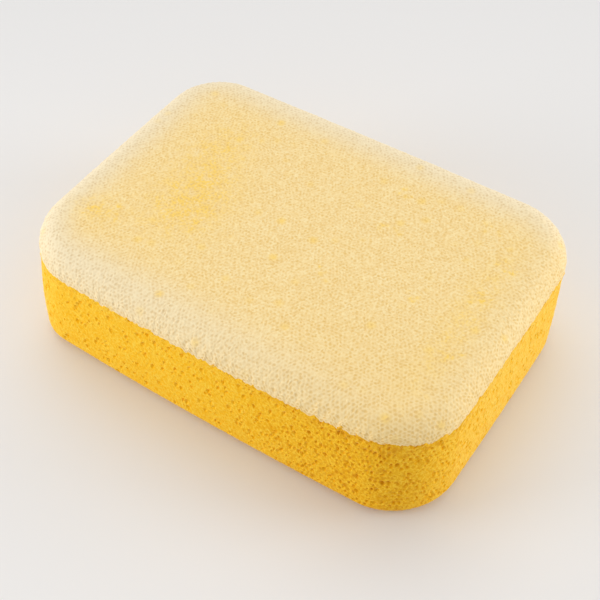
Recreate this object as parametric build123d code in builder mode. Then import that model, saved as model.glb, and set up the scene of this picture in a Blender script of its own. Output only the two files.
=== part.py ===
from build123d import *
import os

# Two-layer cleaning sponge: a thick pored foam body, which lies on its underside,
# with a thinner scrub layer bonded over the whole of its upper face.
# The origin is at the centre of the underside, X runs along the length and Z up.

# Overall sizes of the sponge, in millimetres
length = 184.0
width = 130.0
height = 54.0

# Plan outline, as the cut foam springs back: each side stands out at its middle, the
# front one most, and each rounded corner has a radius of its own
end_bow = 1.0
back_bow = 1.0
front_bow = 3.6
back_left_radius = 24.0
front_left_radius = 24.0
front_right_radius = 27.5
back_right_radius = 28.0

# Layers: the scrub layer springs out past the body all round
scrub_thickness = 9.0
scrub_overhang = 0.5
body_height = height - scrub_thickness

# Rounded edges: under the body, and over the scrub layer
base_edge_radius = 6.0
scrub_edge_radius = 8.5

# Largest pores, the bubbles that the cut walls opened: their radii by turns, how far
# apart they lie, and the strip left free of them along a wall's edges
pore_radii = [0.7, 1.1, 0.9]
pore_spacing = 13.5
pore_margin = 2.5
pore_depth = 1.2
pore_sides = 6

# From pore to pore: shares of the wall's length and height, and a turn in degrees
along_step_share = 0.7549
rise_step_share = 0.5698
pore_turn = 23


# Plan of a layer at a height: four shallow arcs, one a side, with rounded corners
def plan(level, inset):
    end_x = length / 2 - inset
    side_y = width / 2 - inset
    corner_x = end_x - end_bow
    front_y = front_bow - side_y
    back_y = side_y - back_bow
    middle_y = (front_y + back_y) / 2
    corner_radii = {
        (-corner_x, back_y): back_left_radius,
        (-corner_x, front_y): front_left_radius,
        (corner_x, front_y): front_right_radius,
        (corner_x, back_y): back_right_radius,
    }
    with BuildSketch(Plane.XY.offset(level)) as layer_plan:
        with BuildLine():
            ThreePointArc((-corner_x, front_y), (0, -side_y), (corner_x, front_y))
            ThreePointArc((corner_x, front_y), (end_x, middle_y), (corner_x, back_y))
            ThreePointArc((corner_x, back_y), (0, side_y), (-corner_x, back_y))
            ThreePointArc((-corner_x, back_y), (-end_x, middle_y), (-corner_x, front_y))
        make_face()
        for corner, radius in corner_radii.items():
            fillet(layer_plan.vertices().sort_by_distance(corner)[0], radius=radius - inset)
    return layer_plan.sketch


# Planes for the pores of one wall: equal steps along and up it, less whole lengths,
# never meet again, so the pores lie scattered
def pore_planes(wall):
    wall_height = body_height - base_edge_radius
    wall_length = wall.area / wall_height
    pore_count = round(wall.area / pore_spacing**2)
    planes = []
    for number in range(pore_count):
        along = pore_margin + (wall_length - 2 * pore_margin) * (number * along_step_share % 1)
        rise = pore_margin + (wall_height - 2 * pore_margin) * (number * rise_step_share % 1)
        foot = wall.position_at(along / wall_length, rise / wall_height)
        planes.append(Plane(foot, x_dir=Axis.Z.direction, z_dir=wall.normal_at(foot)))
    return planes


# Open pore: a pit with flat sides, which narrows to a point below the wall
def pore(radius, turn):
    with BuildPart() as pit:
        with BuildSketch() as mouth:
            RegularPolygon(radius, side_count=pore_sides, rotation=turn)
        loft([mouth.face(), Vertex(0, 0, -pore_depth)], ruled=True)
    return pit.part


# Foam body: a block inside the overhang, with a rounded lower edge and open pores
with BuildPart() as sponge_body:
    add(plan(0, scrub_overhang))
    extrude(amount=body_height)
    base_edges = sponge_body.faces().sort_by(Axis.Z)[0].edges()
    fillet(base_edges, radius=base_edge_radius)
    walls = sponge_body.faces().filter_by(GeomType.CYLINDER)
    places = [plane for wall in walls for plane in pore_planes(wall)]
    for first, pore_radius in enumerate(pore_radii):
        with Locations(*places[first :: len(pore_radii)]):
            add(pore(pore_radius, first * pore_turn), mode=Mode.SUBTRACT)
sponge_body.part.label = "sponge_body"

# Scrub layer: the whole outline, lying on the body, with a well rounded upper edge
with BuildPart() as scrub_layer:
    add(plan(body_height, 0))
    extrude(amount=scrub_thickness)
    scrub_edges = scrub_layer.faces().sort_by(Axis.Z)[-1].edges()
    fillet(scrub_edges, radius=scrub_edge_radius)
scrub_layer.part.label = "scrub_layer"

os.makedirs("parts", exist_ok=True)
export_step(sponge_body.part, "parts/sponge_body.step")
export_step(scrub_layer.part, "parts/scrub_layer.step")
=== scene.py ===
# %% [markdown]
# # A two-layer cleaning sponge
# The real thing is a block of yellow foam with a sheet of white open-cell scrub foam bonded
# over its upper face. Both were cut to one rounded outline. This lesson dresses the two solids
# of the frame: each is replaced by a skin of real pores, wrapped over the same block form.

import bmesh
import bpy
import numpy as np
from mathutils import Matrix, Vector


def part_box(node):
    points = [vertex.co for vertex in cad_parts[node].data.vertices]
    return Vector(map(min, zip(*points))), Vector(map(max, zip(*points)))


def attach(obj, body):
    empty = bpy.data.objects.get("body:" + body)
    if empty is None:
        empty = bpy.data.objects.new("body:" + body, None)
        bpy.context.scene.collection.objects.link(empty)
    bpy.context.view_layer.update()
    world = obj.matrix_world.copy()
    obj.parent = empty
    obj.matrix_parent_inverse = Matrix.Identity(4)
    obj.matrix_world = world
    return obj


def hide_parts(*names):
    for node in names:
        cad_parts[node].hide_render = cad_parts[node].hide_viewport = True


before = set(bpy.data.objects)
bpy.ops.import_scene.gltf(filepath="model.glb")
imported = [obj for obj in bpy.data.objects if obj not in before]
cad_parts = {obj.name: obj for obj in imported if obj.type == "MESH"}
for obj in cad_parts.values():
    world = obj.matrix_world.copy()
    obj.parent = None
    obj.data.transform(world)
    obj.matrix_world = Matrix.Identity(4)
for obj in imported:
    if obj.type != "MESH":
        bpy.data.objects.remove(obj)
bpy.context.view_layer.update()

MM = 0.001
layer_low, layer_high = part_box("scrub_layer")
body_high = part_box("sponge_body")[1]
seam_z = layer_low.z
top_z = layer_high.z
overhang = layer_high.x - body_high.x
print("seam at", round(seam_z / MM, 2), "mm, top at", round(top_z / MM, 2), "mm")

# %% [markdown]
# ## The block's outline
# Foam is sawn or stamped while it is squeezed, so no two corners come out alike: here the
# left corner is tighter at the floor than at the seam, and the long front side stands out most.
# A rounded rectangle could be a spline, but a formula keeps the sides fair: the outline is the
# path of a disc's edge. The disc's centre runs from corner to corner while the normal stands
# still, and the normal swings a quarter turn at each corner while the centre stands still.

# %% Outline of the block
# Corners in the order back, left, front, right, counter-clockwise from the middle of the back
side_x = np.array([-1, -1, 1, 1])
side_y = np.array([1, -1, -1, 1])
seam_radii = np.array([23.0, 27.0, 25.5, 26.0]) * MM
base_radii = np.array([23.0, 17.0, 25.5, 28.0]) * MM
left_bow, right_bow = 0.8 * MM, 1.0 * MM
back_bow, front_bow = 0.9 * MM, 2.8 * MM
reach_x = layer_high.x - np.array([left_bow, left_bow, right_bow, right_bow])
reach_y = layer_high.y - np.array([back_bow, front_bow, front_bow, back_bow])


def closed(corner_values):
    """Values at both ends of the four corner arcs, with the mean of the outer two at start and end."""
    ends = np.repeat(corner_values, 2)
    middle = (ends[0] + ends[-1]) / 2
    return np.concatenate([[middle], ends, [middle]])


usual_radius = seam_radii.mean()
long_run = 2 * (layer_high.x - usual_radius)
short_run = 2 * (layer_high.y - usual_radius)
bend = np.pi / 2 * usual_radius
runs = [0, long_run / 2, bend, short_run, bend, long_run, bend, short_run, bend, long_run / 2]
girth = sum(runs)
knots = np.cumsum(runs) / girth
normal_angles = np.pi / 2 * np.array([1, 1, 2, 2, 3, 3, 4, 4, 5, 5])


def bowed(x, y):
    """Each side stands out by its bow at its middle, by one less the square of the way along it, and
    the push fades with the fourth power towards the block's middle."""
    end_bow = np.where(x > 0, right_bow, left_bow) * np.sign(x)
    side_bow = np.where(y > 0, back_bow, front_bow) * np.sign(y)
    along_x = np.clip(np.abs(x) / layer_high.x, 0, 1)
    along_y = np.clip(np.abs(y) / layer_high.y, 0, 1)
    return x + end_bow * (1 - along_y**2) * along_x**4, y + side_bow * (1 - along_x**2) * along_y**4


def outline(turn, inset, drop):
    """Plan point at a share turn of the way round, inset from the edge: the disc's centre plus its
    radius along the normal. drop blends the corner radii from the seam's, 0, to the floor's, 1."""
    angle = np.interp(turn, knots, normal_angles)
    x, y = 0, 0
    for radii, weight in ((seam_radii, 1 - drop), (base_radii, drop)):
        radius = np.interp(turn, knots, closed(radii)) - inset
        centre_x = np.interp(turn, knots, closed(side_x * (reach_x - radii)))
        centre_y = np.interp(turn, knots, closed(side_y * (reach_y - radii)))
        x = x + weight * (centre_x + radius * np.cos(angle))
        y = y + weight * (centre_y + radius * np.sin(angle))
    x, y = bowed(x, y)
    return x, y, angle


def from_core(flat, radii):
    """The rectangle of disc centres is the outline's core. Gives the core's nearest point to each flat
    point, the unit way out from it, the distance, and the radius of the corner that rules there."""
    x, y = flat[:, 0], flat[:, 1]
    corner = np.select([(x < 0) & (y >= 0), (x < 0) & (y < 0), (x >= 0) & (y < 0)], [0, 1, 2], 3)
    radius = radii[corner]
    room = np.stack([reach_x[corner] - radius, reach_y[corner] - radius], -1)
    core = np.clip(flat, -room, room)
    span = np.linalg.norm(flat - core, axis=1)
    way = (flat - core) / np.maximum(span, 1e-9)[:, None]
    return core, way, span, radius


print("girth", round(girth / MM, 1), "mm")

# %% [markdown]
# ## A honeycomb that has lost its order
# Foam cells crowd together like soap bubbles, which gives mostly six-sided cells of uneven
# size. A diagram of nearest points would do, but it has to be solved. A honeycomb whose centres are
# shaken gives the same look from index arithmetic alone: each cell's corners are the means of the three
# centres round them, so neighbours share their corners and the skin stays closed. Slow waves then
# push whole patches about, so that no straight row of cells is left for the eye to catch.

# %% Waves
wave_count = 12


def wave_set(period, shortest, longest, rng):
    """Waves of random heading, length and start, a whole number of which fits the period along the
    first axis. Gives each wave's steps along and across, its start and its heading."""
    wave_length = rng.uniform(shortest, longest, wave_count)
    heading = rng.uniform(0, 2 * np.pi, wave_count)
    along = np.round(np.cos(heading) * period / wave_length) / period
    across = np.sin(heading) / wave_length
    return along, across, rng.uniform(0, 2 * np.pi, wave_count), heading


def swings(flat, along, across, start):
    """The sine of each wave of a set at each flat point."""
    return np.sin(2 * np.pi * (flat[:, :1] * along + flat[:, 1:] * across) + start)


def waves(flat, period, shortest, longest, rng):
    """The sum of a set of sine waves at each flat point, of about unit size."""
    wave = wave_set(period, shortest, longest, rng)[:3]
    return swings(flat, *wave).sum(1) * np.sqrt(2 / wave_count)


def stirred(flat, period, shortest, longest, reach, rng):
    """Flat points moved by a set of waves, each of which pushes sideways to its heading, so that
    patches slide past each other and are neither crowded nor spread."""
    *wave, heading = wave_set(period, shortest, longest, rng)
    sideways = np.stack([-np.sin(heading), np.cos(heading)], -1)
    return flat + swings(flat, *wave) @ sideways * reach * 2 / np.sqrt(wave_count)


# %% Shaken honeycomb
# Shortest and longest waves that stir the cells, and how far they push, in pitches
stirs = ((2.5, 5, 0.06), (8, 20, 0.25))


def row_step(pitch):
    """The way from one row of cells to the next: half the root of three pitches."""
    return pitch * np.sqrt(3) / 2


def honeycomb(columns, rows, pitch, shake, rng):
    """Centres, corners and the six corner numbers of each cell. Centre (i, j) is at i + j/2 pitches and
    j row steps, moved at random by up to shake pitches, and waves stir all. Cells join up at the ends
    of each row."""
    i, j = np.meshgrid(np.arange(columns), np.arange(rows))
    step = row_step(pitch)
    wander = rng.uniform(-shake, shake, (2, rows, columns)) * pitch
    right = np.roll(wander, -1, 2)
    above = np.roll(wander, -1, 1)
    beyond = np.roll(right, -1, 1)
    centre = np.stack([(i + j / 2) * pitch, j * step]) + wander
    upright = np.stack([(i + j / 2 + 1 / 2) * pitch, (j + 1 / 3) * step]) + (wander + right + above) / 3
    hanging = np.stack([(i + j / 2 + 1) * pitch, (j + 2 / 3) * step]) + (right + above + beyond) / 3
    number = j * columns + i
    left = np.roll(number, 1, 1)
    below = np.roll(number, 1, 0)
    behind = np.roll(left, 1, 0)
    count = rows * columns
    ring = np.stack([number, count + left, left, count + behind, below, count + below], -1)
    flat = np.concatenate([part.reshape(2, -1) for part in (centre, upright, hanging)], 1).T
    for shortest, longest, reach in stirs:
        flat = stirred(flat, columns * pitch, shortest * pitch, longest * pitch, reach * pitch, rng)
    return flat[:count], flat[count:], ring.reshape(-1, 6)


def cell_sheet(half_x, half_y, pitch, shake, rng):
    """A honeycomb laid out round the origin, with those half sizes: its centres, corners and corner
    numbers, and its size."""
    columns = int(2 * half_x / pitch)
    rows = int(2 * half_y / row_step(pitch))
    size = np.array([columns * pitch, rows * row_step(pitch)])
    centre, corners, ring = honeycomb(columns, rows, pitch, shake, rng)
    centre[:, 0] %= size[0]
    corners[:, 0] %= size[0]
    return (centre - size / 2, corners - size / 2, ring), size


def nearest(offset, period):
    """The offset less whole periods, so that it lies within half a period of zero."""
    return (offset + period / 2) % period - period / 2


# %% [markdown]
# ## Open and closed cells
# A knife opens some bubbles of a foam wide and only grazes others. A grazed cell is a fan of six
# triangles to a slightly hollow middle. An opened one has a flat web, a round rim and a pit, which
# takes three times the faces, so only the share that needs them gets them.

# %% Sheet of cells
rim_unevenness = (0.82, 1.18)
rim_limit = 0.93


def foam_sheet(comb, keep, period, rim_share, rng):
    """A flat sheet of the kept cells. One with a rim share is open, with its rim at that share of the way
    out, halfway between the cell's own shape and a circle. Gives the points, the triangles, the flat
    place of each triangle's corners, unbroken where the sheet joins up, and how many points are
    struts. The rims' points come after those, and the cells' middles last."""
    centre, corners, ring = comb[0][keep], comb[1], comb[2][keep]
    used, cells = np.unique(ring, return_inverse=True)
    cells = cells.reshape(-1, 6)
    spokes = corners[ring] - centre[:, None]
    spokes[..., 0] = nearest(spokes[..., 0], period)
    middle = centre + spokes.mean(1)
    spokes = spokes - spokes.mean(1, keepdims=True)

    opened = rim_share > 0
    open_share = rim_share[opened][:, None, None]
    open_count = len(open_share)
    reach = np.linalg.norm(spokes[opened], axis=-1, keepdims=True)
    rounded = (reach + reach.mean(1, keepdims=True)) / 2
    uneven = rng.uniform(*rim_unevenness, (open_count, 6, 1))
    rim_reach = np.minimum(rounded * open_share * uneven, rim_limit * reach)
    rims = middle[opened][:, None] + spokes[opened] / reach * rim_reach

    points = np.concatenate([corners[used], rims.reshape(-1, 2), middle])
    rim = len(used) + np.arange(open_count * 6).reshape(-1, 6)
    pit = len(used) + open_count * 6 + np.repeat(np.arange(len(centre)), 6).reshape(-1, 6)
    onward, rim_onward = np.roll(cells, -1, 1), np.roll(rim, -1, 1)
    fan = np.stack([cells, onward, pit], -1)[~opened]
    web_out = np.stack([cells[opened], onward[opened], rim_onward], -1)
    web_in = np.stack([cells[opened], rim_onward, rim], -1)
    bowl = np.stack([rim, rim_onward, pit[opened]], -1)
    triangles = np.concatenate([fan, web_out, web_in, bowl]).reshape(-1, 3)

    open_homes = np.tile(middle[opened], (3, 1))
    home = np.concatenate([middle[~opened], open_homes]).repeat(6, axis=0)[:, None]
    place = points[triangles] - home
    place[..., 0] = nearest(place[..., 0], period)
    home[..., 0] %= period
    return points, triangles, place + home, len(used)


# %% Depths and shades of cells
# Least and most: an open cell's depth as a share of its rim's width, and its shade
pit_depth = (0.35, 0.6)
pit_shade = (1.0, 1.5)
rim_shade = 0.3
strut_shade_limit = 0.25


def foam_depths(strut_count, rim_share, hollow, graze, rough, pitch, rng):
    """How far each point of a sheet of cells sinks below the skin, and how deep in shade it lies. The
    middles of closed cells sink by hollow and shade by graze, each from least to most, by one random
    number for both. Open ones are about half as deep as they are wide. Struts stand uneven by rough."""
    opened = rim_share > 0
    open_count = np.count_nonzero(opened)
    luck = rng.random(len(rim_share))
    middle_sink = hollow[0] + (hollow[1] - hollow[0]) * luck
    middle_shade = graze[0] + (graze[1] - graze[0]) * luck
    middle_sink[opened] = rim_share[opened] * pitch * rng.uniform(*pit_depth, open_count)
    middle_shade[opened] = rng.uniform(*pit_shade, open_count)
    strut_sink = rng.normal(0, rough, strut_count)
    strut_shade = rng.uniform(0, strut_shade_limit, strut_count)
    sink = np.concatenate([strut_sink, np.full(open_count * 6, rough / 2), middle_sink])
    shade = np.concatenate([strut_shade, np.full(open_count * 6, rim_shade), middle_shade])
    return sink, shade


# %% Meshes from arrays
def new_piece(name, points, triangles, sheet_map, **fields):
    """A mesh object from whole arrays: points, triangles, a map for each corner and named numbers for
    each point."""
    mesh = bpy.data.meshes.new(name)
    mesh.vertices.add(len(points))
    mesh.vertices.foreach_set("co", np.ascontiguousarray(points, np.float32).ravel())
    mesh.loops.add(triangles.size)
    mesh.loops.foreach_set("vertex_index", np.ascontiguousarray(triangles, np.int32).ravel())
    mesh.polygons.add(len(triangles))
    mesh.polygons.foreach_set("loop_start", np.arange(len(triangles), dtype=np.int32) * 3)
    mesh.update(calc_edges=True)
    for field, values in fields.items():
        mesh.attributes.new(field, "FLOAT", "POINT").data.foreach_set("value", values.astype(np.float32))
    layer = mesh.uv_layers.new(name="OFBake")
    layer.uv.foreach_set("vector", np.ascontiguousarray(sheet_map, np.float32).ravel())
    piece = bpy.data.objects.new(name, mesh)
    bpy.context.scene.collection.objects.link(piece)
    return piece


def close_rims(piece, *lids):
    """Fills the open rims between two heights with flat triangles that face up or down. A lid's map is
    its plan, shrunk and moved to a free place."""
    mesh = piece.data
    form = bmesh.new()
    form.from_mesh(mesh)
    plan_map = form.loops.layers.uv["OFBake"]
    rims = [edge for edge in form.edges if edge.is_boundary]
    for low, high, facing, shrink, free_place in lids:
        rim = [edge for edge in rims if low <= edge.verts[0].co.z <= high]
        filled = bmesh.ops.triangle_fill(form, edges=rim, use_beauty=True)["geom"]
        faces = [face for face in filled if isinstance(face, bmesh.types.BMFace)]
        turned = [face for face in faces if face.normal.z * facing < 0]
        bmesh.ops.reverse_faces(form, faces=turned)
        for corner in (corner for face in faces for corner in face.loops):
            corner[plan_map].uv = corner.vert.co.xy * shrink + Vector(free_place)
    still_open = sum(edge.is_boundary for edge in form.edges)
    form.to_mesh(mesh)
    form.free()
    mesh.polygons.foreach_set("use_smooth", np.zeros(len(mesh.polygons), bool))
    mesh.update()
    print(piece.name, len(mesh.polygons), "triangles,", still_open, "open edges")


# %% [markdown]
# ## The scrub layer
# The white sheet is reticulated foam: a net of strands round open cells about 1.6 mm across.
# A true net of strands would be millions of faces, so each cell is a little six-sided pit whose
# edges stand up as the strands. The honeycomb is laid out flat, as the sheet was before it was
# cut, and its margin is wrapped down over the rounded edge. At the seam it curls in under itself,
# into the yellow foam, so that the line where the two meet is ragged and has no gap.

# %% Scrub layer's form
cell_pitch = 1.6 * MM
edge_out = 9.3 * MM
edge_down = top_z - seam_z
edge_arc = np.pi / 2 * np.sqrt((edge_out**2 + edge_down**2) / 2)
lip_run, lip_in, lip_deep = 3.0 * MM, 2.4 * MM, 0.9 * MM


def lip(past):
    """A lip past the seam: it goes on for half its run by a sine, and comes back to the seam's height
    further in, by a square. Gives the way in and the height past the seam."""
    share = np.maximum(past / lip_run, 0)
    curled = np.minimum(share, 1)
    return lip_in * curled**2 + lip_run * (share - curled), lip_deep * np.sin(np.pi * curled)


def scrub_skin(flat, sink):
    """Wraps a flat sheet over the edge: past the flat, the distance from the core runs down a quarter
    ellipse to the seam, then into the lip. sink moves a point in along the normal. Gives points and
    distances past the flat."""
    core, way, span, radius = from_core(flat, seam_radii)
    past = span - (radius - edge_out)
    turn = np.pi / 2 * np.clip(past / edge_arc, 0, 1)
    lip_inset, lip_drop = lip(past - edge_arc)
    reach = np.minimum(span, radius - edge_out) + edge_out * np.sin(turn) - lip_inset
    x, y = bowed(*(core + way * reach[:, None]).T)
    z = top_z - edge_down * (1 - np.cos(turn)) - lip_drop
    out, up = np.sin(turn) / edge_out, np.cos(turn) / edge_down
    normal = np.stack([way[:, 0] * out, way[:, 1] * out, up], -1) / np.hypot(out, up)[:, None]
    sink = np.where(past > edge_arc + lip_run, 0, sink)
    return np.stack([x, y, z], -1) - normal * sink[:, None], past


# %% Ragged seam
seam_drift = 0.35 * MM
seam_waves = (2 * MM, 6 * MM)
seam_reach = 4 * MM
corner_lift = 2 * MM
lift_middle, lift_half = (70, -61), (18, 14)


def bell(points, middle, half):
    """A bell curve over the plan: e to minus the square of the way from its middle, counted in half
    widths. Middle and half width are in millimetres."""
    return np.exp(-(((points[:, :2] / MM - middle) / half) ** 2).sum(1))


def ragged(points):
    """The seam wanders: points near its height move up and down by waves over the plan, the same on
    both layers, and up at the front corner, where the sheet was cut thinner. Both fade by a bell curve
    of the height off the seam."""
    drift = seam_drift * waves(points[:, :2], 1, *seam_waves, np.random.default_rng(5))
    drift = drift + corner_lift * bell(points, lift_middle, lift_half)
    near = np.exp(-(((points[:, 2] - seam_z) / seam_reach) ** 2))
    return points + np.array([0, 0, 1]) * (drift * near)[:, None]


# %% Scrub layer's cells
rng = np.random.default_rng(7)
cell_shake = 0.36
cell_hollow = (0.05 * MM, 0.15 * MM)
cell_graze = (0.5, 1.5)
cell_rough = 0.05 * MM
margin = edge_arc - edge_out + lip_run + 4 * cell_pitch
comb, sheet_size = cell_sheet(layer_high.x + margin, layer_high.y + margin, cell_pitch, cell_shake, rng)
past = scrub_skin(comb[0], np.zeros(len(comb[0])))[1]
keep = np.flatnonzero(past < edge_arc + lip_run + cell_pitch)
all_closed = np.zeros(len(keep))
flat, triangles, place, strut_count = foam_sheet(comb, keep, sheet_size[0], all_closed, rng)
sink, shade = foam_depths(strut_count, all_closed, cell_hollow, cell_graze, cell_rough, cell_pitch, rng)
place[..., 0] = nearest(place[..., 0], sheet_size[0])
points, past = scrub_skin(flat, sink)
points = ragged(points)
print("scrub layer:", len(keep), "cells")

# %% [markdown]
# ## Stains, pale edges with painted sheen, and painted shade
# The yellow foam shows through the white where the net is thin or was rubbed in, as a broad
# patch, a band near the right end and smudges of a few specks each. Towards the cut edge the net is
# seen from the side, nothing shows through, and it is whiter; on the left and back edges, seen at a
# slant, painted sheen makes it paler still. At the front corner painted shade darkens it. All are
# numbers on the mesh's points, worked out from the plan, so they stay put from every side.

# %% Stains on the scrub layer
# Place in the plan, half width each way, both in millimetres, and strength
broad_stains = [
    (-44, -8, 15, 20, 0.65),
    (-52, 22, 11, 16, 0.4),
    (-71, -33, 10, 8, 0.35),
    (73, -5, 7, 40, 0.3),
]
smudges = [(-48, 6), (-37, -12), (-45, -19), (-34, -20), (-73, -34), (19, -13), (53, -6), (74, 6)]
smudges += [(61, 40), (21, 39), (28, 19), (75, 25), (-66, -31), (76, -22)]
specks_each, speck_scatter = 5, 2.2
speck_half, speck_strength = (0.5, 1.1), (0.3, 0.9)
stain_unevenness, stain_waves = 0.3, (3 * MM, 12 * MM)
stain = np.zeros(len(points))
for x, y, half_x, half_y, strength in broad_stains:
    stain += strength * bell(flat, (x, y), (half_x, half_y))
stain *= 1 + stain_unevenness * waves(flat, sheet_size[0], *stain_waves, rng)
specks = np.repeat(smudges, specks_each, axis=0)
specks = specks + rng.normal(0, speck_scatter, specks.shape)
for speck in specks:
    half = rng.uniform(*speck_half)
    strength = rng.uniform(*speck_strength)
    stain += strength * bell(flat, speck, half)
print("stains:", len(broad_stains), "broad ones,", len(specks), "specks")


# %% Pale edges with painted sheen, and painted shade, on the scrub layer
def eased(share):
    """From 0 to 1 with a level start and end: three squares less two cubes."""
    return share**2 * (3 - 2 * share)


pale_start, pale_run = 13 * MM, 19 * MM
least_pale, most_pale = 0.12, 0.9
lost_at_seam = 0.4
down_shade, corner_shade = 0.5, 0.45
shade_middle, shade_half = (78, -58), (45, 30)
left_share = 0.5 - points[:, 0] / (2 * layer_high.x)
back_share = from_core(flat, seam_radii)[1][:, 1]
# Edges on the left and at the back are seen at a slant: there painted sheen adds to the net's own paler
# edge.
seen_edge = np.maximum(left_share, np.clip(back_share, least_pale, most_pale))
down_edge = np.clip(past / edge_arc, 0, 1)
near_edge = np.clip((past + pale_start) / pale_run, 0, 1)
pale_and_sheen = eased(near_edge) * (1 - lost_at_seam * down_edge**2) * seen_edge
# Painted shade at the front corner: it darkens the strands and the cells' pits there.
deep = bell(points, shade_middle, shade_half)
shade = shade * (1 + down_shade * down_edge**2 + corner_shade * deep)
print("pale up to", round(pale_and_sheen.max(), 2))

# %% Scrub layer's mesh
lid_shrink = 0.3
lid_gap = 0.12
lid_place = (0.5, sheet_size[1] / sheet_size[0] + lid_gap)
sheet_map = (place + sheet_size / 2) / sheet_size[0]
fields = {"shade": shade, "stain": np.clip(stain, 0, 1), "pale_and_sheen": pale_and_sheen, "deep": deep}
scrub_piece = new_piece("scrub_foam", points, triangles, sheet_map, **fields)
close_rims(scrub_piece, (0, top_z, -1, lid_shrink / sheet_size[0], lid_place))

# %% [markdown]
# ## The foam body
# The yellow block has foam with bubbles that the saw opened: mostly about a millimetre across and
# taller than wide, some twice that, and more of them at the front corner. The walls are unrolled
# into one band, which runs from the underside's edge, round the lower edge and up past the seam,
# and closes on itself. The underside is a flat sheet of its own, and flat triangles fill the strip
# between the two.

# %% Body's form
base_round = 6.0 * MM
low_arc = np.pi / 2 * base_round
seam_rise = low_arc + seam_z - base_round
flare, flare_share = 7.0 * MM, 0.8
belly, left_belly = 0.4 * MM, 0.8 * MM


def body_skin(flat, sink):
    """Wraps the band round the outline: from the underside's edge up a quarter circle, up the wall,
    which swells by half a sine wave and comes out under the scrub layer at the top, and into the lip.
    sink moves a point in along the normal."""
    way, rise = flat[:, 0], flat[:, 1]
    bend_angle = np.pi / 2 * np.clip(1 - rise / low_arc, 0, 1)
    lip_inset, lip_lift = lip(rise - seam_rise)
    z = base_round * (1 - np.sin(bend_angle)) + np.clip(rise, low_arc, seam_rise) - low_arc + lip_lift
    near = np.clip((rise - seam_rise) / flare + 1, 0, 1)
    inset = overhang * (1 - flare_share * eased(near)) + base_round * (1 - np.cos(bend_angle))
    inset = inset + np.maximum(-rise, 0) + lip_inset
    drop = 1 - np.clip(z / seam_z, 0, 1)
    x, y, angle = outline(way / girth % 1, inset, drop)
    swell = np.sin(np.pi * drop) * (belly + left_belly * np.maximum(-np.cos(angle), 0))
    x, y = x + swell * np.cos(angle), y + swell * np.sin(angle)
    level, down = np.cos(bend_angle), np.sin(bend_angle)
    normal = np.stack([np.cos(angle) * level, np.sin(angle) * level, -down], -1)
    on_rim = (rise < 0) | (rise > seam_rise + lip_run)
    sink = np.where(on_rim, 0, np.where(rise < low_arc, np.maximum(sink, 0), sink))
    return np.stack([x, y, z], -1) - normal * sink[:, None]


# %% [markdown]
# ## Pores that the solid has
# The solid has the largest pores of the walls, so the skin opens its widest cells at the same
# places. Copied numbers would go wrong when the solid changes, so they are found in its mesh: a
# pore is a pit of six leaning facets, and its tip is where at least four of them meet.

# %% Tips of the solid's pores
def read(items, name, kind, width):
    """A property of all items of a mesh as an array with rows of that width."""
    values = np.empty(len(items) * width, kind)
    items.foreach_get(name, values)
    return values.reshape(-1, width)


least_lean = 0.15
facets_at_tip = 4
metre_digits = 5
edge_room = MM / 2
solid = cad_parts["sponge_body"].data
spots = read(solid.vertices, "co", np.float32, 3)[read(solid.polygons, "vertices", np.int32, 3)]
lean = np.abs(read(solid.polygons, "normal", np.float32, 3)[:, 2])
height = spots[..., 2].mean(1)
on_wall = (height > base_round + edge_room) & (height < seam_z - edge_room)
pit_corners = spots[on_wall & (lean > least_lean)].reshape(-1, 3)
ends, meeting = np.unique(np.round(pit_corners, metre_digits), axis=0, return_counts=True)
pore_tips = ends[meeting >= facets_at_tip]
print(len(pore_tips), "pores in the solid")

# %% Open cells
usual_rim, rim_spread = 0.58, 0.42
least_rim, most_rim = 0.2, 0.95


def open_cells(count, share, rng):
    """The rim share of each of a number of cells: 0 for a closed one, and uneven for the share that
    are open."""
    rim_share = np.clip(rng.lognormal(np.log(usual_rim), rim_spread, count), least_rim, most_rim)
    return np.where(rng.random(count) < share, rim_share, 0)


# %% Cells of the walls
rng = np.random.default_rng(11)
pore_pitch = 2.0 * MM
pore_rise = 1.4
pore_shake = 0.40
pore_hollow = (0.02 * MM, 0.12 * MM)
pore_graze = (0.3, 1.5)
pore_rough = 0.04 * MM
front_corner = (68, -66)
usual_open, more_open, more_half = 0.2, 0.4, 50
columns = round(girth / pore_pitch)
pitch = girth / columns
rows_below, rows_above = 4, 6
rows = rows_below + int((seam_rise + lip_run) / (row_step(pitch) * pore_rise)) + rows_above
centre, corners, ring = honeycomb(columns, rows, pitch, pore_shake, rng)
centre[:, 1] -= rows_below * row_step(pitch)
corners[:, 1] -= rows_below * row_step(pitch)
rise = centre[:, 1] * pore_rise
keep = np.flatnonzero((rise > -0.6 * pitch) & (rise < seam_rise + lip_run + pitch))
seats = body_skin(centre[keep] * (1, pore_rise), np.zeros(len(keep)))
open_here = usual_open + more_open * bell(seats, front_corner, more_half)
rim_share = open_cells(len(keep), open_here, rng)
from_tips = seats[:, None] - pore_tips
rim_share[np.linalg.norm(from_tips, axis=-1).argmin(0)] = most_rim
comb = (centre, corners, ring)
flat, wall_triangles, wall_place, strut_count = foam_sheet(comb, keep, girth, rim_share, rng)
sink, wall_shade = foam_depths(strut_count, rim_share, pore_hollow, pore_graze, pore_rough, pitch, rng)
flat[:, 1] *= pore_rise
wall_place[..., 1] *= pore_rise
print("walls:", len(keep), "cells,", len(wall_triangles), "triangles")

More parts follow.
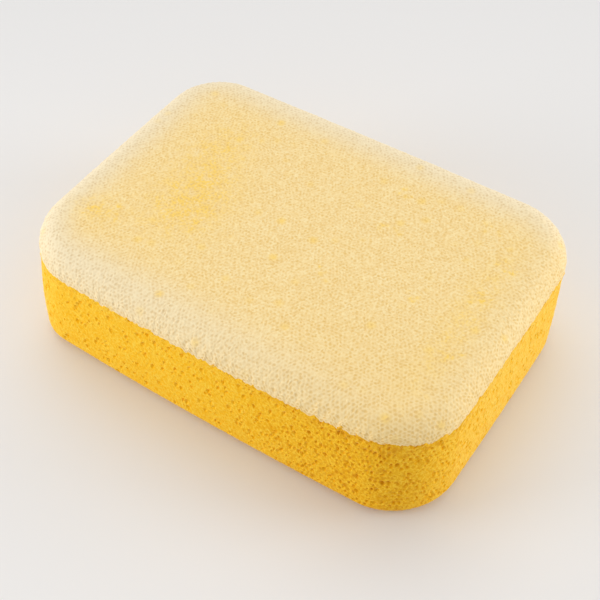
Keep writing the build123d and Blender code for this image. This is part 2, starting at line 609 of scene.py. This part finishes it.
# %% Walls below the seam
# The cut frays the foam at the seam, and the scrub layer shades it in a line and, at the front
# corner, in patches. Reaches and drops below the seam are in millimetres
fray_depth, fray_reach, fray_waves = 0.22 * MM, 2.0, (2 * MM, 6 * MM)
line_shade, line_drop = 0.3, 0.6
patch_shade, patch_drop, patch_reach = 0.5, 2.0, 4.0
patch_middle, patch_half, patch_waves = (60, -62), 55, (3 * MM, 9 * MM)
from_seam = (flat[:, 1] - seam_rise) / MM
fray = fray_depth * waves(flat, girth, *fray_waves, rng)
sink = sink + fray * np.exp(-((from_seam / fray_reach) ** 2))
wall_points = ragged(body_skin(flat, sink))
patches = np.clip(0.6 + 0.6 * waves(flat, girth, *patch_waves, rng), 0, 2)
patches = patch_shade * patches * bell(wall_points, patch_middle, patch_half)
seam_line = line_shade * np.exp(-((from_seam + line_drop) ** 2))
below_corner = patches * np.exp(-(((from_seam + patch_drop) / patch_reach) ** 2))
wall_shade = wall_shade + seam_line + below_corner
print("walls reach up to", round(wall_points[:, 2].max() / MM, 1), "mm")

# %% Cells of the underside
base_pitch = 2.2 * MM
base_gap = 4.0 * MM
base_open_share = 0.25
comb, base_size = cell_sheet(layer_high.x, layer_high.y, base_pitch, pore_shake, rng)
span, radius = from_core(comb[0] * (1, -1), base_radii)[2:]
keep = np.flatnonzero(span < radius - overhang - base_round - base_gap)
rim_share = open_cells(len(keep), base_open_share, rng)
flat, base_triangles, base_place, strut_count = foam_sheet(comb, keep, base_size[0], rim_share, rng)
sink, base_shade = foam_depths(
    strut_count, rim_share, pore_hollow, pore_graze, pore_rough, base_pitch, rng
)
base_place[..., 0] = nearest(base_place[..., 0], base_size[0])
x, y = bowed(flat[:, 0], -flat[:, 1])
base_points = np.stack([x, y, np.maximum(sink, 0)], -1)
base_place[..., 1] *= -1
print("underside:", len(keep), "cells,", len(base_triangles), "triangles")

# %% [markdown]
# ## Map of the body
# The colours are baked when the model is exported, so every face needs a place of its own on a
# square map. The band is cut into four strips, laid one above the other, and the underside stands on
# its end beside them. The lid that closes the top, which nobody sees, and the narrow strip round the
# underside are flat and plain, so they are shrunk into what is left free. Numbers on the points carry
# painted shade at the front corner and a painted sheen, which makes the foam paler, at the right end.

# %% Map and mesh of the body
strip_count = 4
strip_length = girth / strip_count
strip_height = seam_rise + lip_run + rows_above * pitch
map_size = 272 * MM
map_gap = 3 * MM
strip = np.floor(wall_place.mean(1, keepdims=True)[..., 0] % girth / strip_length)
wall_map = wall_place - np.stack([strip * strip_length, -strip * strip_height], -1)
wall_map = wall_map + map_gap + np.array([0, 2 * pitch])
beside = strip_length + 3 * map_gap
base_middle = np.array([beside + layer_high.y - base_round, layer_high.x])
base_map = base_place[..., ::-1] + base_middle
body_map = np.concatenate([wall_map, base_map]) / map_size
points = np.concatenate([wall_points, base_points])
triangles = np.concatenate([wall_triangles, base_triangles + len(wall_points)])
shade = np.concatenate([wall_shade, base_shade])
# Painted shade at the front corner.
deep_half = (40, 30)
# A painted sheen makes the foam paler at the right end.
sheen_start, sheen_run = (72, -60), (18, 50)
deep = bell(points, front_corner, deep_half)
faded = np.clip((points[:, :2] / MM - sheen_start) / sheen_run, 0, 1).prod(1)
body_piece = new_piece("body_foam", points, triangles, body_map, shade=shade, deep=deep, faded=faded)
body_shrink = lid_shrink / map_size
next_lid_gap = 0.33
lid_x, next_lid_x = beside / map_size + lid_gap, beside / map_size + next_lid_gap
underside_lid = (-MM, seam_z / 2, -1, body_shrink, (next_lid_x, 1 - lid_gap))
seam_lid = (seam_z / 2, top_z, 1, body_shrink, (lid_x, 1 - lid_gap))
close_rims(body_piece, underside_lid, seam_lid)

# %% [markdown]
# ## Foam materials
# Foam has no gloss. What the eye reads is colour: pale on the struts, deeper in the pores where
# light has bounced off the walls more than once. So each material mixes colours by the numbers
# that the mesh carries, and breaks them up with noise and fine bubbles in Object coordinates. The
# white has a few sparse blots of yellow as well. A little sheen stands for the fuzz of cut struts,
# which turns pale where it is seen at a slant.

# %% Nodes
def feed(material, socket, value):
    """Links a socket to another node's output, or sets its value. A colour of three is opaque."""
    if isinstance(value, bpy.types.NodeSocket):
        material.node_tree.links.new(value, socket)
    elif socket.type == "RGBA":
        socket.default_value = (*value, 1)
    else:
        socket.default_value = value


def add_node(material, kind, **inputs):
    """A node of that kind with values or links for its named inputs."""
    made = material.node_tree.nodes.new(kind)
    for name, value in inputs.items():
        feed(material, made.inputs[name.replace("_", " ")], value)
    return made


def mixed(material, share, first, second):
    """A colour from first, at share 0, to second, at share 1."""
    made = material.node_tree.nodes.new("ShaderNodeMix")
    made.data_type = "RGBA"
    sockets = {socket.identifier: socket for socket in made.inputs}
    feed(material, sockets["Factor_Float"], share)
    feed(material, sockets["A_Color"], first)
    feed(material, sockets["B_Color"], second)
    return next(socket for socket in made.outputs if socket.identifier == "Result_Color")


def scaled(material, value, low, high, least=0.0, most=1.0):
    """The least where a number is low, the most where it is high, in step between and held beyond."""
    spans = {"From_Min": low, "From_Max": high, "To_Min": least, "To_Max": most}
    return add_node(material, "ShaderNodeMapRange", Value=value, **spans).outputs["Result"]


# %% Fields and patterns
def point_field(material, name):
    """The number of that name that the mesh carries on its points."""
    made = add_node(material, "ShaderNodeAttribute")
    made.attribute_name = name
    return made.outputs["Fac"]


def field_share(material, name, most):
    """The number of that name that the mesh carries, times most."""
    return scaled(material, point_field(material, name), 0, 1, 0, most)


def object_place(material, rise):
    """Object coordinates, with heights divided by rise, so that a pattern comes out that much taller."""
    place = add_node(material, "ShaderNodeTexCoord").outputs["Object"]
    return add_node(material, "ShaderNodeMapping", Vector=place, Scale=(1, 1, 1 / rise)).outputs["Vector"]


def noise(material, size, detail, rise=1.0):
    """Noise of about that size in metres, from 0 to 1."""
    place = object_place(material, rise)
    made = add_node(material, "ShaderNodeTexNoise", Vector=place, Scale=1 / size, Detail=detail)
    return made.outputs["Fac"]


def bubbles(material, size, reach, share, rise=1.0):
    """Bubbles about that size in metres apart, which the surface cuts wherever it passes: from 1 near one
    of many scattered points to 0 at a reach of that many sizes, times a strength that is random for each
    bubble and above 0 for that share of them."""
    place = object_place(material, rise)
    made = add_node(material, "ShaderNodeTexVoronoi", Vector=place, Scale=1 / size)
    luck = add_node(material, "ShaderNodeSeparateColor", Color=made.outputs["Color"]).outputs["Red"]
    strength = scaled(material, luck, 1 - share, 1)
    return scaled(material, made.outputs["Distance"], reach, 0.3 * reach, most=strength)


# %% Dull shader
def dull_material(name, sheen):
    """A node material with a dull shader and some sheen."""
    material = bpy.data.materials.new(name)
    material.use_nodes = True
    shader = material.node_tree.nodes["Principled BSDF"]
    shader.inputs["Roughness"].default_value = 0.95
    shader.inputs["Specular IOR Level"].default_value = 0.1
    shader.inputs["Sheen Weight"].default_value = sheen
    shader.inputs["Sheen Roughness"].default_value = 0.3
    return material, shader


# %% Yellow foam
light_web, warm_web = (0.99, 0.68, 0.075), (0.99, 0.62, 0.045)
# On these lines the colours for the front corner are painted shade, and the paler web for the right end is
# a painted sheen.
faded_web, deep_web = (0.99, 0.73, 0.15), (0.99, 0.57, 0.01)
grain_colour, deep_grain_colour = (0.93, 0.49, 0.008), (0.84, 0.40, 0.003)
pit_colour, deep_pit_colour = (0.93, 0.47, 0.004), (0.65, 0.255, 0.001)
yellow, shader = dull_material("yellow_foam", sheen=0.18)
mottle = scaled(yellow, noise(yellow, 5 * MM, 3.0), 0.3, 0.7)
grain = scaled(yellow, noise(yellow, 0.7 * MM, 2.0, pore_rise), 0.35, 0.65)
web = mixed(yellow, mottle, warm_web, light_web)
# Painted sheen at the right end makes the web paler.
web = mixed(yellow, field_share(yellow, "faded", 0.6), web, faded_web)
# Painted shade at the front corner darkens the web, the grain and the pits.
web = mixed(yellow, field_share(yellow, "deep", 0.5), web, deep_web)
dull = mixed(yellow, point_field(yellow, "deep"), grain_colour, deep_grain_colour)
web = mixed(yellow, grain, dull, web)
pit = mixed(yellow, point_field(yellow, "deep"), pit_colour, deep_pit_colour)
colour = mixed(yellow, bubbles(yellow, 1.7 * MM, 0.5, 0.9, pore_rise), web, pit)
colour = mixed(yellow, bubbles(yellow, 3.4 * MM, 0.42, 0.5, pore_rise), colour, pit)
colour = mixed(yellow, scaled(yellow, point_field(yellow, "shade"), 0.25, 1.3, 0, 0.5), colour, pit)
feed(yellow, shader.inputs["Base Color"], colour)
body_piece.data.materials.append(yellow)
print("yellow foam:", len(yellow.node_tree.nodes), "nodes")

# %% White foam
cream, light_cream = (0.99, 0.785, 0.40), (0.99, 0.815, 0.45)
grain_colour = (0.91, 0.66, 0.29)
# Of the strand colours, the darker is painted shade at the front corner; the pale strand and gap colours
# are partly the net's own paler edge, partly painted sheen.
deep_strand, pale_sheen_strand = (0.93, 0.70, 0.33), (0.91, 0.79, 0.56)
stain_colour = (0.99, 0.67, 0.15)
gap_colour, pale_sheen_gap_colour = (0.82, 0.55, 0.19), (0.735, 0.585, 0.37)
white, shader = dull_material("scrub_foam", sheen=0.3)
mottle = scaled(white, noise(white, 9 * MM, 4.0), 0.3, 0.7)
grain = scaled(white, noise(white, 0.8 * MM, 2.0), 0.35, 0.65)
strand = mixed(white, mottle, cream, light_cream)
strand = mixed(white, grain, grain_colour, strand)
# Painted shade at the front corner darkens the strands.
strand = mixed(white, field_share(white, "deep", 0.6), strand, deep_strand)
strand = mixed(white, point_field(white, "pale_and_sheen"), strand, pale_sheen_strand)
speckle = scaled(white, noise(white, 1.2 * MM, 2.0), 0.38, 0.62, 0.4, 1.6)
strand = mixed(white, field_share(white, "stain", speckle), strand, stain_colour)
blots = scaled(white, bubbles(white, 8 * MM, 0.3, 0.7), 0, 1, 0, 0.7)
strand = mixed(white, blots, strand, stain_colour)
gap = mixed(white, point_field(white, "pale_and_sheen"), gap_colour, pale_sheen_gap_colour)
colour = mixed(white, bubbles(white, 1.25 * MM, 0.5, 0.9), strand, gap)
colour = mixed(white, scaled(white, point_field(white, "shade"), 0.3, 1.5), colour, gap)
feed(white, shader.inputs["Base Color"], colour)
scrub_piece.data.materials.append(white)
print("white foam:", len(white.node_tree.nodes), "nodes")

# %% [markdown]
# ## Places in the frame
# Each skin stands for one solid of the frame. Nothing moves on a sponge, so both ride on its one
# body.

# %% Ride and replace
for piece, node, slot in (
    (scrub_piece, "scrub_layer", "scrub_foam"),
    (body_piece, "sponge_body", "yellow_foam"),
):
    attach(piece, "root")
    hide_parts(node)
    print(piece.name, "replaces", node)

# %% [markdown]
# ## Floor, light and camera
# The sponge lies on a pale paper sheet in a light tent. The tent lights it from all round, a
# little less from the camera's side, and is paler to look at than the light it gives. Soft boxes at
# both sides have grids, so that they light the sponge's ends and not the whole floor, and one broad
# light comes down through the tent's lid, from behind. The camera looks down on the corner between
# a long side and an end. Its place was found by fitting the block's outline to the photograph.

# %% Floor
floor_half = 3.0
floor_corners = [(-floor_half, -floor_half, 0), (floor_half, -floor_half, 0)]
floor_corners += [(floor_half, floor_half, 0), (-floor_half, floor_half, 0)]
floor_mesh = bpy.data.meshes.new("floor")
floor_mesh.from_pydata(floor_corners, [], [(0, 1, 2, 3)])
floor = bpy.data.objects.new("floor", floor_mesh)
bpy.context.scene.collection.objects.link(floor)
paper, shader = dull_material("pale_paper", sheen=0)
feed(paper, shader.inputs["Base Color"], (0.83, 0.82, 0.812))
floor_mesh.materials.append(paper)
print("floor", 2 * floor_half, "m wide")

# %% Light of the tent
camera_side, side_start, side_full = (0.3, -0.95, 0.1), 0.2, 0.9
tent_strength, camera_side_strength, seen_strength = 0.735, 0.575, 0.79
world = bpy.data.worlds.new("tent")
bpy.context.scene.world = world
world.use_nodes = True
direction = add_node(world, "ShaderNodeTexCoord").outputs["Generated"]
facing = add_node(world, "ShaderNodeVectorMath", Vector=direction)
facing.operation = "DOT_PRODUCT"
facing.inputs[1].default_value = camera_side
toward = facing.outputs["Value"]
tent_light = scaled(world, toward, side_start, side_full, tent_strength, camera_side_strength)
ray = add_node(world, "ShaderNodeLightPath").outputs
seen = ray["Is Camera Ray"]
for kind in ("Is Glossy Ray", "Is Transmission Ray"):
    either = add_node(world, "ShaderNodeMath")
    either.operation = "MAXIMUM"
    feed(world, either.inputs[0], seen)
    feed(world, either.inputs[1], ray[kind])
    seen = either.outputs["Value"]
background = world.node_tree.nodes["Background"]
feed(world, background.inputs["Color"], (1, 1, 1))
feed(world, background.inputs["Strength"], scaled(world, seen, 0, 1, tent_light, seen_strength))
print("tent:", len(world.node_tree.nodes), "nodes")


# %% Soft boxes
def aimed(name, lamp, aim):
    """A lamp's object, which shines along the aim."""
    holder = bpy.data.objects.new(name, lamp)
    holder.rotation_euler = aim.to_track_quat("-Z", "Y").to_euler()
    bpy.context.scene.collection.objects.link(holder)
    return holder


def soft_box(name, place, width, watts, spread):
    """A square lamp that faces the sponge, with a grid that keeps its light within a spread in degrees."""
    lamp = bpy.data.lights.new(name, "AREA")
    lamp.size = width
    lamp.energy = watts
    lamp.spread = np.radians(spread)
    aim = Vector((0, 0, seam_z)) - Vector(place)
    aimed(name, lamp, aim).location = place
    print(name, "stands", round(aim.length, 2), "m off")


soft_box("left_box", place=(-0.60, -0.50, 0.18), width=0.4, watts=0.48, spread=70)
soft_box("right_box", place=(0.85, 0.52, 0.2), width=0.5, watts=0.57, spread=60)

# %% Light through the lid
lid_angle = 50
lid_aim = Vector((0.28, -0.34, -0.9))
lid_lamp = bpy.data.lights.new("lid_light", "SUN")
lid_lamp.energy = 0.56
lid_lamp.angle = np.radians(lid_angle)
aimed("lid_light", lid_lamp, lid_aim)
print("lid light", lid_angle, "degrees wide")

# %% Camera
eye = Vector((174.1, -254.9, 368.3)) * MM
camera_right = Vector((0.8338, 0.5519, -0.0123))
camera_back = Vector((0.3701, -0.5423, 0.7543))
camera_up = camera_back.cross(camera_right)
sensor_mm = 36.0
focal_pixels = 1164.2
photo_pixels = 600
camera_data = bpy.data.cameras.new("camera")
camera_data.sensor_width = sensor_mm
camera_data.lens = sensor_mm * focal_pixels / photo_pixels
camera = bpy.data.objects.new("camera", camera_data)
axes = Matrix((camera_right, camera_up, camera_back)).transposed()
camera.matrix_world = Matrix.Translation(eye) @ axes.to_4x4()
bpy.context.scene.collection.objects.link(camera)
bpy.context.scene.camera = camera
bpy.context.scene.view_settings.view_transform = "Standard"
print("camera", round(eye.length, 2), "m off, lens", round(camera_data.lens, 1), "mm")
